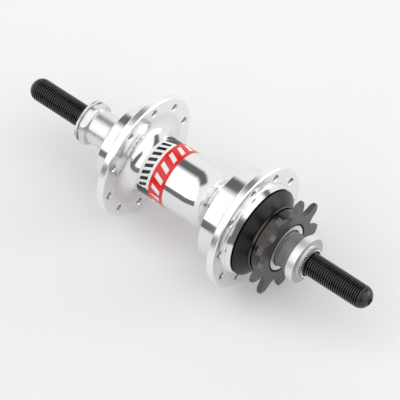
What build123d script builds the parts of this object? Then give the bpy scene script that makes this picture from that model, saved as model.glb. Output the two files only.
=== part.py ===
from build123d import *
import math
import os

# A single-speed rear hub for a bicycle: a one-piece turned aluminium shell on sealed ball bearings, with a
# nine-tooth driver that turns the shell through three sprung pawls. Every size is in millimetres.
#
# The axle lies along Y, with the drive side at -Y, X forwards and Z up. The origin is on the axle, midway
# between the two faces that clamp in the frame. A station is a distance along the axle from the origin,
# positive towards the drive side, so a station s lies at y = -s.

# Axle
AXLE_LENGTH = 175.0
THREAD_D = 9.8  # crest of the M10 x 1 thread
THREAD_MEET_D = 9.35  # pitch diameter, where the axle's thread and a nut's meet
JOURNAL_D = 10.0
NOSE_ROUND = 4.4
KEY_SOCKET_AF = 3.0
KEY_SOCKET_DEPTH = 2.2
OVER_LOCKNUTS = 116.0

# Hub shell
FLANGE_D = 55.0
FLANGE_THICKNESS = 3.4
FLANGE_SPACING = 56.8  # middle to middle
FLANGE_EDGE = 0.5
SPOKES_PER_SIDE = 10
SPOKE_PCD = 46.6
SPOKE_HOLE_D = 2.6
SPOKE_HOLE_EDGE = 0.45
LEFT_FIRST_HOLE = 5.5  # degrees from +X towards +Z
RIGHT_FIRST_HOLE = 23.5
BARREL_D = 25.8
SHELL_BORE_D = 20.6
LEFT_BOSS_D = 35.0
LEFT_BOSS_LENGTH = 9.1
LEFT_BOSS_EDGE = 0.6
RIGHT_BOSS_D = 41.2
RIGHT_BOSS_LENGTH = 9.7  # inboard of the drive-side flange
LIP_D = 39.2
LIP_LENGTH = 2.8  # outboard of the drive-side flange
LIP_BEVEL = 1.8
LEFT_FILLET = 5.5
RIGHT_FLARE_R = 17.0  # of the flare between the barrel and the right-hand boss
RIGHT_BOSS_STEP = 0.35  # by which the boss stands over the end of the flare
BOSS_FACE_EDGE = 0.4

# Sealed ball bearings: a pair in the shell, one in the pawl carrier and one in the cog
SHELL_BEARING_D = 26.0
SHELL_BEARING_WIDTH = 8.0
SHELL_BALL_D = 4.76
SHELL_BALLS = 7
CARRIER_BEARING_D = 19.0
CARRIER_BEARING_WIDTH = 5.0
CARRIER_BALL_D = 2.38
CARRIER_BALLS = 11
COG_BEARING_D = 22.0
COG_BEARING_WIDTH = 6.0
COG_BALL_D = 3.175
COG_BALLS = 10
LEFT_BEARING_RECESS = 1.0
COG_BEARING_RECESS = 0.8
BALL_CLEARANCE = 0.02
LAND_SHARE = 0.21  # height of a race's land over its groove, as a share of the ball
CAGE_SHARE = 0.17  # half the cage's thickness, as a share of the ball
POCKET_CLEARANCE = 0.08
CAGE_WALL = 0.42
SHIELD_THICKNESS = 0.4
SHIELD_INSET = 0.2
SHIELD_GAP = 0.15
SHIELD_SEAT = 0.45

# Clutch: a sawtooth ratchet ring in the shell and three pawls on the driver
RATCHET_TEETH = 24
RATCHET_OUTSIDE_D = 36.4
RATCHET_ROOT_D = 33.8
RATCHET_TIP_D = 31.0
RATCHET_LENGTH = 5.4
RATCHET_RECESS = 0.3
RATCHET_TO_BEARING = 0.6  # between the ring's seat and the bearing's
RATCHET_LAND = 0.12  # flat crest of a tooth, as a share of the pitch
PAWL_COUNT = 3
PAWL_WIDTH = 3.8
PAWL_PIVOT_R = 12.9
PAWL_HEEL_R = 1.5
PAWL_REACH = 6.6  # from the pivot to the tip, across the radius
PAWL_TIP_R = 15.2  # radius of the tip with the pawl pressed in
PAWL_TIP_DEPTH = 2.05
PAWL_TIP_RAKE = 0.4  # by which the tip's underside is cut back
PAWL_LIFT = 10.5  # degrees from pressed in to fully out
PAWL_FIT = 0.05  # running clearance of the heel in its socket
POCKET_SIDE_GAP = 0.1  # at each side of a pawl
POCKET_END_GAP = 0.4  # beyond a pawl's tip
POCKET_FLOOR_GAP = 0.6
ENGAGED_GAP = 2.6  # degrees between a lifted pawl's tip and the tooth face in front of it
SPRING_THICKNESS = 0.2
SPRING_BOW = 0.35
SPRING_LIFT = 0.15  # of the leaf's middle line over the pocket's floor, at its ends

# Driver with its cog
DRIVER_START = 27.8  # station of its inboard face
CARRIER_D = 30.4
CARRIER_LENGTH = 5.1
CAP_SEAT_D = 26.0
DRIVER_BORE_D = 16.4
CARRIER_BEARING_RECESS = 0.4
COLLAR_D = 29.0
COLLAR_LENGTH = 1.0
COLLAR_GROOVE_D = 26.6
COLLAR_GROOVE_WIDTH = 0.4
NECK_D = 27.8
NECK_END_D = 25.8
DRIVER_FACE = 45.7  # station of the cog's outer face
COG_TEETH = 9
CHAIN_PITCH = 12.7
COG_THICKNESS = 2.3
COG_TIP_D = 42.6
ROLLER_SEAT_R = 3.95
SEAT_ARC = 118.0  # degrees of the seat that a roller touches
TOOTH_TIP_WIDTH = 2.5
TOOTH_TIP_ROUND = 1.0
TOOTH_BEVEL = 0.65
TOOTH_BEVEL_RUN = 1.7
FIRST_TOOTH = 22.4  # degrees from +X towards +Z

# Dust cap, the black cone that covers the clutch
CAP_BACK_D = 38.7
CAP_FRONT_D = 29.8
CAP_LENGTH = 4.2
CAP_EDGE = 0.35
CAP_WALL = 1.9
CAP_COLLAR_D = 29.2
SHELL_TO_CAP = 0.4
CAP_TO_COLLAR = 0.15

# Spacers and nuts on the axle
SPACER_STEP_D = 13.2  # bears on an inner race alone
SPACER_STEP = 0.6
LEFT_SPACER_D = 15.1
RIGHT_SPACER_D = 15.4
SPACER_GROOVE = 0.35
SPACER_GROOVE_AT = 1.3  # from the bearing
SLEEVE_D = 13.0
LEFT_NUT_AF = 17.0
LEFT_NUT_D = 18.8
LEFT_NUT_HEX = 3.0
LEFT_NUT_NECK_D = 16.2
LEFT_NUT_NECK = 0.5
LEFT_NUT_RING = 1.5
LEFT_HEX_TURN = 1.0  # degrees from +X towards +Z to the middle of a flat
NUT_EDGE = 0.45
RIGHT_NUT_D = 19.8
RIGHT_NUT_BODY = 3.5
RIGHT_NUT_BEVEL = 0.15
RIGHT_NUT_LENGTH = 5.6
RIGHT_NUT_RING_D = 14.1
RIGHT_NUT_RING = 1.95
NUT_MOUTH = (JOURNAL_D - THREAD_MEET_D) / 2  # countersink where the thread leaves a nut

# Label round the barrel
LABEL_THICKNESS = 0.1
LABEL_BAND = (-15.2, -8.1)  # stations of the band that goes all round
LABEL_TAB_END = -21.1
LABEL_TAB_ARC = (66.0, 178.0)  # degrees from +X towards +Z

# Stations that follow from the sizes above
FACE = OVER_LOCKNUTS / 2
TIP = AXLE_LENGTH / 2
RIGHT_FLANGE_IN = FLANGE_SPACING / 2 - FLANGE_THICKNESS / 2
RIGHT_FLANGE_OUT = RIGHT_FLANGE_IN + FLANGE_THICKNESS
LEFT_FLANGE_IN = -RIGHT_FLANGE_IN
LEFT_FLANGE_OUT = -RIGHT_FLANGE_OUT
LEFT_BOSS_END = LEFT_FLANGE_OUT - LEFT_BOSS_LENGTH
RIGHT_BOSS_START = RIGHT_FLANGE_IN - RIGHT_BOSS_LENGTH
FLARE_TOP = RIGHT_BOSS_D / 2 - RIGHT_BOSS_STEP
FLARE_RISE = FLARE_TOP - BARREL_D / 2
FLARE_START = RIGHT_BOSS_START - math.sqrt(FLARE_RISE * (2 * RIGHT_FLARE_R - FLARE_RISE))
LIP_END = RIGHT_FLANGE_OUT + LIP_LENGTH
LEFT_BEARING_START = LEFT_BOSS_END + LEFT_BEARING_RECESS
LEFT_BEARING_AT = LEFT_BEARING_START + SHELL_BEARING_WIDTH / 2
LEFT_SHOULDER = LEFT_BEARING_START + SHELL_BEARING_WIDTH
RATCHET_END = LIP_END - RATCHET_RECESS
RATCHET_START = RATCHET_END - RATCHET_LENGTH
RIGHT_BEARING_END = RATCHET_START - RATCHET_TO_BEARING
RIGHT_BEARING_AT = RIGHT_BEARING_END - SHELL_BEARING_WIDTH / 2
RIGHT_SHOULDER = RIGHT_BEARING_END - SHELL_BEARING_WIDTH
CARRIER_END = DRIVER_START + CARRIER_LENGTH
CARRIER_BEARING_START = DRIVER_START + CARRIER_BEARING_RECESS
CARRIER_BEARING_AT = CARRIER_BEARING_START + CARRIER_BEARING_WIDTH / 2
CARRIER_SHOULDER = CARRIER_BEARING_START + CARRIER_BEARING_WIDTH
COG_BEARING_END = DRIVER_FACE - COG_BEARING_RECESS
COG_BEARING_AT = COG_BEARING_END - COG_BEARING_WIDTH / 2
COG_SHOULDER = COG_BEARING_END - COG_BEARING_WIDTH
COG_BACK = DRIVER_FACE - COG_THICKNESS
CAP_BACK = LIP_END + SHELL_TO_CAP
CAP_FRONT = CAP_BACK + CAP_LENGTH
COLLAR_START = CAP_FRONT + CAP_TO_COLLAR
COLLAR_END = COLLAR_START + COLLAR_LENGTH
NECK_START = COLLAR_END + COLLAR_GROOVE_WIDTH
LEFT_NUT_START = -FACE + LEFT_NUT_RING + LEFT_NUT_NECK + LEFT_NUT_HEX
RIGHT_NUT_START = FACE - RIGHT_NUT_LENGTH
PAWL_START = (DRIVER_START + CARRIER_END - PAWL_WIDTH) / 2
RATCHET_PITCH = 360 / RATCHET_TEETH


def across(station):
    """The plane across the axle at a station: its x is +X, its y is +Z, and it faces the drive side."""
    return Plane.XZ.offset(station)


def section(*corners):
    """A closed section for turning about the axle, from (station, radius) corners."""
    with BuildSketch(Plane.XY) as outline:
        with BuildLine():
            Polyline(*[(radius, -station) for station, radius in corners], close=True)
        make_face()
    return outline.sketch


def tube(start, end, inside_d, outside_d):
    """The section of a plain tube between two stations."""
    return section(
        (start, inside_d / 2), (start, outside_d / 2), (end, outside_d / 2), (end, inside_d / 2)
    )


def polar(radius, degrees):
    """A point across the axle, from its radius and its angle from +X towards +Z."""
    return (radius * math.cos(math.radians(degrees)), radius * math.sin(math.radians(degrees)))


def pattern_angle(place, count):
    """The angle of one copy of something repeated evenly round the axle."""
    return 360 * place / count


def save(part, name):
    """Label a finished piece and write it under its name."""
    part.label = name
    export_step(part, f"parts/{name}.step")


os.makedirs("parts", exist_ok=True)

# Hub shell: turned from one bar, bored for its two bearings and for the ratchet ring
with BuildPart() as hub_shell:
    with BuildSketch(Plane.XY) as shell_section:
        with BuildLine():
            wall = Polyline(
                *[
                    (radius, -station)
                    for station, radius in (
                        (RIGHT_BOSS_START, FLARE_TOP),
                        (RIGHT_BOSS_START, RIGHT_BOSS_D / 2),
                        (RIGHT_FLANGE_IN, RIGHT_BOSS_D / 2),
                        (RIGHT_FLANGE_IN, FLANGE_D / 2),
                        (RIGHT_FLANGE_OUT, FLANGE_D / 2),
                        (RIGHT_FLANGE_OUT, RIGHT_BOSS_D / 2),
                        (LIP_END - LIP_BEVEL, RIGHT_BOSS_D / 2),
                        (LIP_END, LIP_D / 2),
                        (LIP_END, RATCHET_OUTSIDE_D / 2),
                        (RATCHET_START, RATCHET_OUTSIDE_D / 2),
                        (RATCHET_START, SHELL_BEARING_D / 2),
                        (RIGHT_SHOULDER, SHELL_BEARING_D / 2),
                        (RIGHT_SHOULDER, SHELL_BORE_D / 2),
                        (LEFT_SHOULDER, SHELL_BORE_D / 2),
                        (LEFT_SHOULDER, SHELL_BEARING_D / 2),
                        (LEFT_BOSS_END, SHELL_BEARING_D / 2),
                        (LEFT_BOSS_END, LEFT_BOSS_D / 2),
                        (LEFT_FLANGE_OUT, LEFT_BOSS_D / 2),
                        (LEFT_FLANGE_OUT, FLANGE_D / 2),
                        (LEFT_FLANGE_IN, FLANGE_D / 2),
                        (LEFT_FLANGE_IN, BARREL_D / 2),
                        (FLARE_START, BARREL_D / 2),
                    )
                ]
            )
            TangentArc(wall @ 1, wall @ 0, tangent=(0, -1))
        make_face()
        for station, radius, size in (
            (LEFT_FLANGE_IN, BARREL_D / 2, LEFT_FILLET),
            (RIGHT_FLANGE_IN, RIGHT_BOSS_D / 2, BOSS_FACE_EDGE),
            (RIGHT_FLANGE_OUT, RIGHT_BOSS_D / 2, BOSS_FACE_EDGE),
            (LEFT_FLANGE_OUT, LEFT_BOSS_D / 2, BOSS_FACE_EDGE),
        ):
            fillet(shell_section.vertices().sort_by_distance((radius, -station))[0], size)
        for station in (LEFT_FLANGE_OUT, LEFT_FLANGE_IN, RIGHT_FLANGE_IN, RIGHT_FLANGE_OUT):
            rim = shell_section.vertices().sort_by_distance((FLANGE_D / 2, -station))[0]
            chamfer(rim, FLANGE_EDGE)
        boss_rim = shell_section.vertices().sort_by_distance((LEFT_BOSS_D / 2, -LEFT_BOSS_END))[0]
        chamfer(boss_rim, LEFT_BOSS_EDGE)
    revolve(axis=Axis.Y)
    for start, first in ((LEFT_FLANGE_OUT, LEFT_FIRST_HOLE), (RIGHT_FLANGE_IN, RIGHT_FIRST_HOLE)):
        with BuildSketch(across(start)):
            with PolarLocations(SPOKE_PCD / 2, SPOKES_PER_SIDE, start_angle=first):
                Circle(SPOKE_HOLE_D / 2)
        extrude(amount=FLANGE_THICKNESS, mode=Mode.SUBTRACT)
    hole_edges = (
        hub_shell.edges()
        .filter_by(GeomType.CIRCLE)
        .filter_by(lambda edge: math.isclose(edge.radius, SPOKE_HOLE_D / 2, abs_tol=1e-4))
    )
    chamfer(hole_edges, SPOKE_HOLE_EDGE)
save(hub_shell.part, "hub_shell")

# Label: a thin printed film, a band all round the barrel with a tab beside it
with BuildPart() as label:
    label_d = BARREL_D + 2 * LABEL_THICKNESS
    revolve(tube(*LABEL_BAND, BARREL_D, label_d), axis=Axis.Y)
    tab_turn = LABEL_TAB_ARC[1] - LABEL_TAB_ARC[0]
    with BuildSketch(across(LABEL_TAB_END)):
        with BuildLine():
            outer = CenterArc((0, 0), label_d / 2, LABEL_TAB_ARC[0], tab_turn)
            inner = CenterArc((0, 0), BARREL_D / 2, LABEL_TAB_ARC[0], tab_turn)
            Line(outer @ 0, inner @ 0)
            Line(outer @ 1, inner @ 1)
        make_face()
    extrude(amount=LABEL_BAND[0] - LABEL_TAB_END)
save(label.part, "label")


def make_bearing(name, middle, outside, width, ball_d, ball_count):
    """One sealed ball bearing at a station: two grooved races, a cage with its balls, and two shields."""
    pitch_r = (JOURNAL_D + outside) / 4
    inner_land = pitch_r - ball_d / 2 - BALL_CLEARANCE + LAND_SHARE * ball_d
    outer_land = pitch_r + ball_d / 2 + BALL_CLEARANCE - LAND_SHARE * ball_d
    shield_out = width / 2 - SHIELD_INSET
    shield_in = shield_out - SHIELD_THICKNESS
    seat = outer_land + SHIELD_SEAT
    with BuildSketch(Plane.XY) as ball_groove:
        with Locations((pitch_r, -middle)):
            Circle(ball_d / 2 + BALL_CLEARANCE)

    with BuildPart() as inner_race:
        race = tube(middle - width / 2, middle + width / 2, JOURNAL_D, 2 * inner_land)
        revolve(race, axis=Axis.Y)
        revolve(ball_groove.sketch, axis=Axis.Y, mode=Mode.SUBTRACT)
    save(inner_race.part, f"{name}_inner_race")

    with BuildPart() as outer_race:
        outer_section = section(
            (middle - width / 2, outside / 2),
            (middle + width / 2, outside / 2),
            (middle + width / 2, seat),
            (middle + shield_in, seat),
            (middle + shield_in, outer_land),
            (middle - shield_in, outer_land),
            (middle - shield_in, seat),
            (middle - width / 2, seat),
        )
        revolve(outer_section, axis=Axis.Y)
        revolve(ball_groove.sketch, axis=Axis.Y, mode=Mode.SUBTRACT)
    save(outer_race.part, f"{name}_outer_race")

    with BuildPart() as shields:
        for side in (-1, 1):
            faces = (middle + side * shield_in, middle + side * shield_out)
            revolve(tube(*faces, 2 * (inner_land + SHIELD_GAP), 2 * seat), axis=Axis.Y)
    save(shields.part, f"{name}_shields")

    with BuildPart() as balls:
        with Locations(across(middle)):
            with PolarLocations(pitch_r, ball_count):
                Sphere(ball_d / 2)
    save(balls.part, f"{name}_balls")

    with BuildPart() as cage:
        half_width = ball_d / 2 + POCKET_CLEARANCE + CAGE_WALL
        half_depth = CAGE_SHARE * ball_d
        cage_in = 2 * (pitch_r - half_depth)
        cage_out = 2 * (pitch_r + half_depth)
        revolve(tube(middle - half_width, middle + half_width, cage_in, cage_out), axis=Axis.Y)
        with Locations(across(middle)):
            with PolarLocations(pitch_r, ball_count):
                Cylinder(
                    ball_d / 2 + POCKET_CLEARANCE, ball_d, rotation=(0, 90, 0), mode=Mode.SUBTRACT
                )
    save(cage.part, f"{name}_cage")


for name, middle in (("left_bearing", LEFT_BEARING_AT), ("right_bearing", RIGHT_BEARING_AT)):
    make_bearing(name, middle, SHELL_BEARING_D, SHELL_BEARING_WIDTH, SHELL_BALL_D, SHELL_BALLS)
make_bearing(
    "carrier_bearing",
    CARRIER_BEARING_AT,
    CARRIER_BEARING_D,
    CARRIER_BEARING_WIDTH,
    CARRIER_BALL_D,
    CARRIER_BALLS,
)
make_bearing(
    "cog_bearing", COG_BEARING_AT, COG_BEARING_D, COG_BEARING_WIDTH, COG_BALL_D, COG_BALLS
)

# Ratchet ring: steel, pressed into the shell, with sawteeth inside whose steep faces meet the pawls
pawl_tip_x = math.sqrt(PAWL_TIP_R**2 - PAWL_REACH**2)
lift = math.radians(PAWL_LIFT)
lifted_x = (
    PAWL_PIVOT_R + (pawl_tip_x - PAWL_PIVOT_R) * math.cos(lift) + PAWL_REACH * math.sin(lift)
)
lifted_y = (pawl_tip_x - PAWL_PIVOT_R) * math.sin(lift) - PAWL_REACH * math.cos(lift)
steep_face_angle = math.degrees(math.atan2(lifted_y, lifted_x)) - ENGAGED_GAP
with BuildPart() as ratchet_ring:
    with BuildSketch(across(RATCHET_START)):
        Circle(RATCHET_OUTSIDE_D / 2)
        with BuildLine():
            corners = []
            for tooth in range(RATCHET_TEETH):
                face_angle = steep_face_angle + pattern_angle(tooth, RATCHET_TEETH)
                corners += [
                    polar(RATCHET_TIP_D / 2, face_angle),
                    polar(RATCHET_ROOT_D / 2, face_angle),
                    polar(RATCHET_TIP_D / 2, face_angle + RATCHET_PITCH * (1 - RATCHET_LAND)),
                ]
            Polyline(*corners, close=True)
        make_face(mode=Mode.SUBTRACT)
    extrude(amount=RATCHET_LENGTH)
save(ratchet_ring.part, "ratchet_ring")


def cog_outline():
    """The cog's teeth: a disc, with a seat for a chain roller cut between each pair of curved flanks."""
    pitch_r = CHAIN_PITCH / 2 / math.sin(math.pi / COG_TEETH)
    tip_r = COG_TIP_D / 2
    half_tooth = 180 / COG_TEETH
    seat_end = SEAT_ARC / 2
    foot = Vector(*polar(ROLLER_SEAT_R, 180 - seat_end)) + Vector(pitch_r, 0)
    tip_turn = half_tooth - math.degrees(math.asin(TOOTH_TIP_WIDTH / 2 / tip_r))
    crest = Vector(*polar(tip_r, tip_turn))
    beyond = Vector(*polar(tip_r + TOOTH_TIP_WIDTH, tip_turn))
    leaving = Vector(*polar(1, 90 - seat_end))
    with BuildSketch(Plane.XY) as roller_gap:
        with BuildLine():
            CenterArc((pitch_r, 0), ROLLER_SEAT_R, 180 - seat_end, SEAT_ARC)
            for side in (1, -1):
                TangentArc(
                    (foot.X, side * foot.Y),
                    (crest.X, side * crest.Y),
                    tangent=(leaving.X, side * leaving.Y),
                )
                Line((crest.X, side * crest.Y), (beyond.X, side * beyond.Y))
            Line((beyond.X, beyond.Y), (beyond.X, -beyond.Y))
        make_face()
    with BuildSketch(Plane.XY) as outline:
        Circle(tip_r)
        with PolarLocations(0, COG_TEETH, start_angle=FIRST_TOOTH + half_tooth):
            add(roller_gap.sketch, mode=Mode.SUBTRACT)
        crests = outline.vertices().filter_by(lambda v: math.hypot(v.X, v.Y) > tip_r - 1e-3)
        fillet(crests, TOOTH_TIP_ROUND)
    return outline.sketch


def pawl_plane(place, station):
    """The plane across the axle at a station, with a pawl's pivot on its x axis."""
    out_x, out_z = polar(1, pattern_angle(place, PAWL_COUNT))
    return Plane(origin=(0, -station, 0), x_dir=(out_x, 0, out_z), z_dir=(0, -1, 0))


pocket_floor = PAWL_PIVOT_R - PAWL_HEEL_R - POCKET_FLOOR_GAP

# Driver: machined steel, with the pawl carrier at one end and the cog at the other
with BuildPart() as driver:
    driver_section = section(
        (DRIVER_START, CARRIER_BEARING_D / 2),
        (DRIVER_START, CARRIER_D / 2),
        (CARRIER_END, CARRIER_D / 2),
        (CARRIER_END, CAP_SEAT_D / 2),
        (COLLAR_START, CAP_SEAT_D / 2),
        (COLLAR_START, COLLAR_D / 2),
        (COLLAR_END, COLLAR_D / 2),
        (COLLAR_END, COLLAR_GROOVE_D / 2),
        (NECK_START, COLLAR_GROOVE_D / 2),
        (NECK_START, NECK_D / 2),
        (COG_BACK, NECK_END_D / 2),
        (DRIVER_FACE, NECK_END_D / 2),
        (DRIVER_FACE, COG_BEARING_D / 2),
        (COG_SHOULDER, COG_BEARING_D / 2),
        (COG_SHOULDER, DRIVER_BORE_D / 2),
        (CARRIER_SHOULDER, DRIVER_BORE_D / 2),
        (CARRIER_SHOULDER, CARRIER_BEARING_D / 2),
    )
    revolve(driver_section, axis=Axis.Y)
    with BuildSketch(across(COG_BACK)):
        add(cog_outline())
        Circle((NECK_END_D + COG_BEARING_D) / 4, mode=Mode.SUBTRACT)
    extrude(amount=COG_THICKNESS)
    for face, inwards in ((DRIVER_FACE, -1), (COG_BACK, 1)):
        bevel = section(
            (face, COG_TIP_D / 2 - TOOTH_BEVEL_RUN),
            (face, COG_TIP_D / 2 + TOOTH_BEVEL_RUN),
            (face + inwards * 2 * TOOTH_BEVEL, COG_TIP_D / 2 + TOOTH_BEVEL_RUN),
        )
        revolve(bevel, axis=Axis.Y, mode=Mode.SUBTRACT)
    for place in range(PAWL_COUNT):
        with BuildSketch(pawl_plane(place, PAWL_START - POCKET_SIDE_GAP)):
            rear = PAWL_HEEL_R + PAWL_FIT
            with Locations((PAWL_PIVOT_R, 0)):
                Circle(rear)
            with BuildLine():
                Polyline(
                    (PAWL_PIVOT_R, rear),
                    (CARRIER_D / 2 + 1, rear),
                    (CARRIER_D / 2 + 1, -PAWL_REACH - POCKET_END_GAP),
                    (pocket_floor, -PAWL_REACH - POCKET_END_GAP),
                    (pocket_floor, -PAWL_HEEL_R),
                    (PAWL_PIVOT_R - rear, 0),
                    close=True,
                )
            make_face()
        extrude(amount=PAWL_WIDTH + 2 * POCKET_SIDE_GAP, mode=Mode.SUBTRACT)
save(driver.part, "driver")

# Pawls, pressed in, and the bowed leaf spring under each
for place in range(PAWL_COUNT):
    with BuildPart() as pawl:
        with BuildSketch(pawl_plane(place, PAWL_START)):
            with Locations((PAWL_PIVOT_R, 0)):
                Circle(PAWL_HEEL_R)
            with BuildLine():
                Polyline(
                    (PAWL_PIVOT_R + PAWL_HEEL_R, 0),
                    (pawl_tip_x, -PAWL_REACH),
                    (pawl_tip_x - PAWL_TIP_DEPTH, PAWL_TIP_RAKE - PAWL_REACH),
                    (PAWL_PIVOT_R - PAWL_HEEL_R, 0),
                    close=True,
                )
            make_face()
        extrude(amount=PAWL_WIDTH)
    save(pawl.part, f"pawl_{place + 1}")

    with BuildPart() as pawl_spring:
        with BuildSketch(pawl_plane(place, PAWL_START + PAWL_WIDTH / 4)):
            with BuildLine():
                leaf_foot = pocket_floor + SPRING_LIFT
                ThreePointArc(
                    (leaf_foot, -PAWL_HEEL_R - SPRING_THICKNESS),
                    (leaf_foot + SPRING_BOW, -(PAWL_REACH + PAWL_HEEL_R) / 2),
                    (leaf_foot, -PAWL_REACH),
                )
            trace(line_width=SPRING_THICKNESS)
        extrude(amount=PAWL_WIDTH / 2)
    save(pawl_spring.part, f"pawl_spring_{place + 1}")

# Dust cap: a black anodised cone, pressed on the driver up to its collar, hollow over the clutch
with BuildPart() as dust_cap:
    cap_section = section(
        (CAP_BACK, CAP_BACK_D / 2 - CAP_EDGE),
        (CAP_BACK + CAP_EDGE, CAP_BACK_D / 2),
        (CAP_FRONT - CAP_EDGE, CAP_FRONT_D / 2 + CAP_EDGE / 2),
        (CAP_FRONT, CAP_FRONT_D / 2 - CAP_EDGE),
        (CAP_FRONT, CAP_SEAT_D / 2),
        (CAP_FRONT - CAP_WALL, CAP_SEAT_D / 2),
        (CAP_FRONT - CAP_WALL, CAP_COLLAR_D / 2),
        (CAP_BACK, CAP_BACK_D / 2 - CAP_WALL),
    )
    revolve(cap_section, axis=Axis.Y)
save(dust_cap.part, "dust_cap")

# Axle: a solid steel bar, ground where the bearings sit. Its thread is drawn at the pitch diameter inside the
# nuts and at the crest beyond them. The ends are rounded, and one has a key socket.
with BuildPart() as axle:
    with BuildSketch(Plane.XY) as axle_section:
        with BuildLine():
            Polyline(
                (0, TIP),
                (THREAD_D / 2, TIP),
                (THREAD_D / 2, FACE),
                (THREAD_MEET_D / 2, FACE),
                (THREAD_MEET_D / 2, -LEFT_NUT_START),
                (JOURNAL_D / 2, -LEFT_NUT_START),
                (JOURNAL_D / 2, -RIGHT_NUT_START),
                (THREAD_MEET_D / 2, -RIGHT_NUT_START),
                (THREAD_MEET_D / 2, -FACE),
                (THREAD_D / 2, -FACE),
                (THREAD_D / 2, -TIP),
                (0, -TIP),
                close=True,
            )
        make_face()
        for end in (TIP, -TIP):
            fillet(axle_section.vertices().sort_by_distance((THREAD_D / 2, end))[0], NOSE_ROUND)
    revolve(axis=Axis.Y)
    with BuildSketch(across(TIP)):
        RegularPolygon(KEY_SOCKET_AF / 2, 6, major_radius=False)
    extrude(amount=-KEY_SOCKET_DEPTH, mode=Mode.SUBTRACT)
save(axle.part, "axle")

# Spacer tubes, each held between two inner races or between a race and a nut
with BuildPart() as left_spacer:
    step_at = LEFT_BEARING_START - SPACER_STEP
    revolve(tube(LEFT_NUT_START, step_at, JOURNAL_D, LEFT_SPACER_D), axis=Axis.Y)
    revolve(tube(step_at, LEFT_BEARING_START, JOURNAL_D, SPACER_STEP_D), axis=Axis.Y)
save(left_spacer.part, "left_spacer")

with BuildPart() as centre_sleeve:
    revolve(tube(LEFT_SHOULDER, RIGHT_SHOULDER, JOURNAL_D, SLEEVE_D), axis=Axis.Y)
save(centre_sleeve.part, "centre_sleeve")

with BuildPart() as clutch_washer:
    revolve(tube(RIGHT_BEARING_END, CARRIER_BEARING_START, JOURNAL_D, SLEEVE_D), axis=Axis.Y)
save(clutch_washer.part, "clutch_washer")

with BuildPart() as driver_sleeve:
    revolve(tube(CARRIER_SHOULDER, COG_SHOULDER, JOURNAL_D, SLEEVE_D), axis=Axis.Y)
save(driver_sleeve.part, "driver_sleeve")

with BuildPart() as right_spacer:
    spacer_section = section(
        (COG_BEARING_END, JOURNAL_D / 2),
        (COG_BEARING_END, SPACER_STEP_D / 2),
        (COG_BEARING_END + SPACER_STEP, SPACER_STEP_D / 2),
        (COG_BEARING_END + SPACER_STEP, RIGHT_SPACER_D / 2),
        (COG_BEARING_END + SPACER_GROOVE_AT, RIGHT_SPACER_D / 2),
        (COG_BEARING_END + SPACER_GROOVE_AT + SPACER_GROOVE, RIGHT_SPACER_D / 2 - SPACER_GROOVE),
        (COG_BEARING_END + SPACER_GROOVE_AT + 2 * SPACER_GROOVE, RIGHT_SPACER_D / 2),
        (RIGHT_NUT_START, RIGHT_SPACER_D / 2),
        (RIGHT_NUT_START, JOURNAL_D / 2),
    )
    revolve(spacer_section, axis=Axis.Y)
save(right_spacer.part, "right_spacer")

# Left locknut: a hexagon turned down at its corners, a groove, and the ring that bites on the frame
with BuildPart() as left_locknut:
    with BuildSketch(across(LEFT_NUT_START - LEFT_NUT_HEX)):
        Circle(LEFT_NUT_D / 2)
        flat_turn = LEFT_HEX_TURN - 30
        RegularPolygon(LEFT_NUT_AF / 2, 6, major_radius=False, rotation=flat_turn, mode=Mode.INTERSECT)
        Circle(THREAD_MEET_D / 2, mode=Mode.SUBTRACT)
    extrude(amount=LEFT_NUT_HEX)
    edge = section(
        (LEFT_NUT_START, LEFT_NUT_D / 2 - NUT_EDGE),
        (LEFT_NUT_START, LEFT_NUT_D / 2 + NUT_EDGE),
        (LEFT_NUT_START - 2 * NUT_EDGE, LEFT_NUT_D / 2 + NUT_EDGE),
    )
    revolve(edge, axis=Axis.Y, mode=Mode.SUBTRACT)
    ring_section = section(
        (LEFT_NUT_START - LEFT_NUT_HEX, THREAD_MEET_D / 2),
        (LEFT_NUT_START - LEFT_NUT_HEX, LEFT_NUT_NECK_D / 2),
        (LEFT_NUT_RING - FACE, LEFT_NUT_NECK_D / 2),
        (LEFT_NUT_RING - FACE, LEFT_NUT_D / 2),
        (NUT_EDGE - FACE, LEFT_NUT_D / 2),
        (-FACE, LEFT_NUT_D / 2 - NUT_EDGE),
        (-FACE, JOURNAL_D / 2),
        (NUT_MOUTH - FACE, THREAD_MEET_D / 2),
    )
    revolve(ring_section, axis=Axis.Y)
save(left_locknut.part, "left_locknut")

# Right locknut: a round nut with a raised ring, whose end bites on the frame
with BuildPart() as right_locknut:
    nut_section = section(
        (RIGHT_NUT_START, THREAD_MEET_D / 2),
        (RIGHT_NUT_START, RIGHT_NUT_D / 2 - NUT_EDGE / 2),
        (RIGHT_NUT_START + NUT_EDGE / 2, RIGHT_NUT_D / 2),
        (RIGHT_NUT_START + RIGHT_NUT_BODY, RIGHT_NUT_D / 2),
        (FACE - RIGHT_NUT_RING, RIGHT_NUT_D / 2 - RIGHT_NUT_BEVEL),
        (FACE - RIGHT_NUT_RING, RIGHT_NUT_RING_D / 2),
        (FACE, RIGHT_NUT_RING_D / 2),
        (FACE, JOURNAL_D / 2),
        (FACE - NUT_MOUTH, THREAD_MEET_D / 2),
    )
    revolve(nut_section, axis=Axis.Y)
save(right_locknut.part, "right_locknut")
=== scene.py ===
import math

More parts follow.
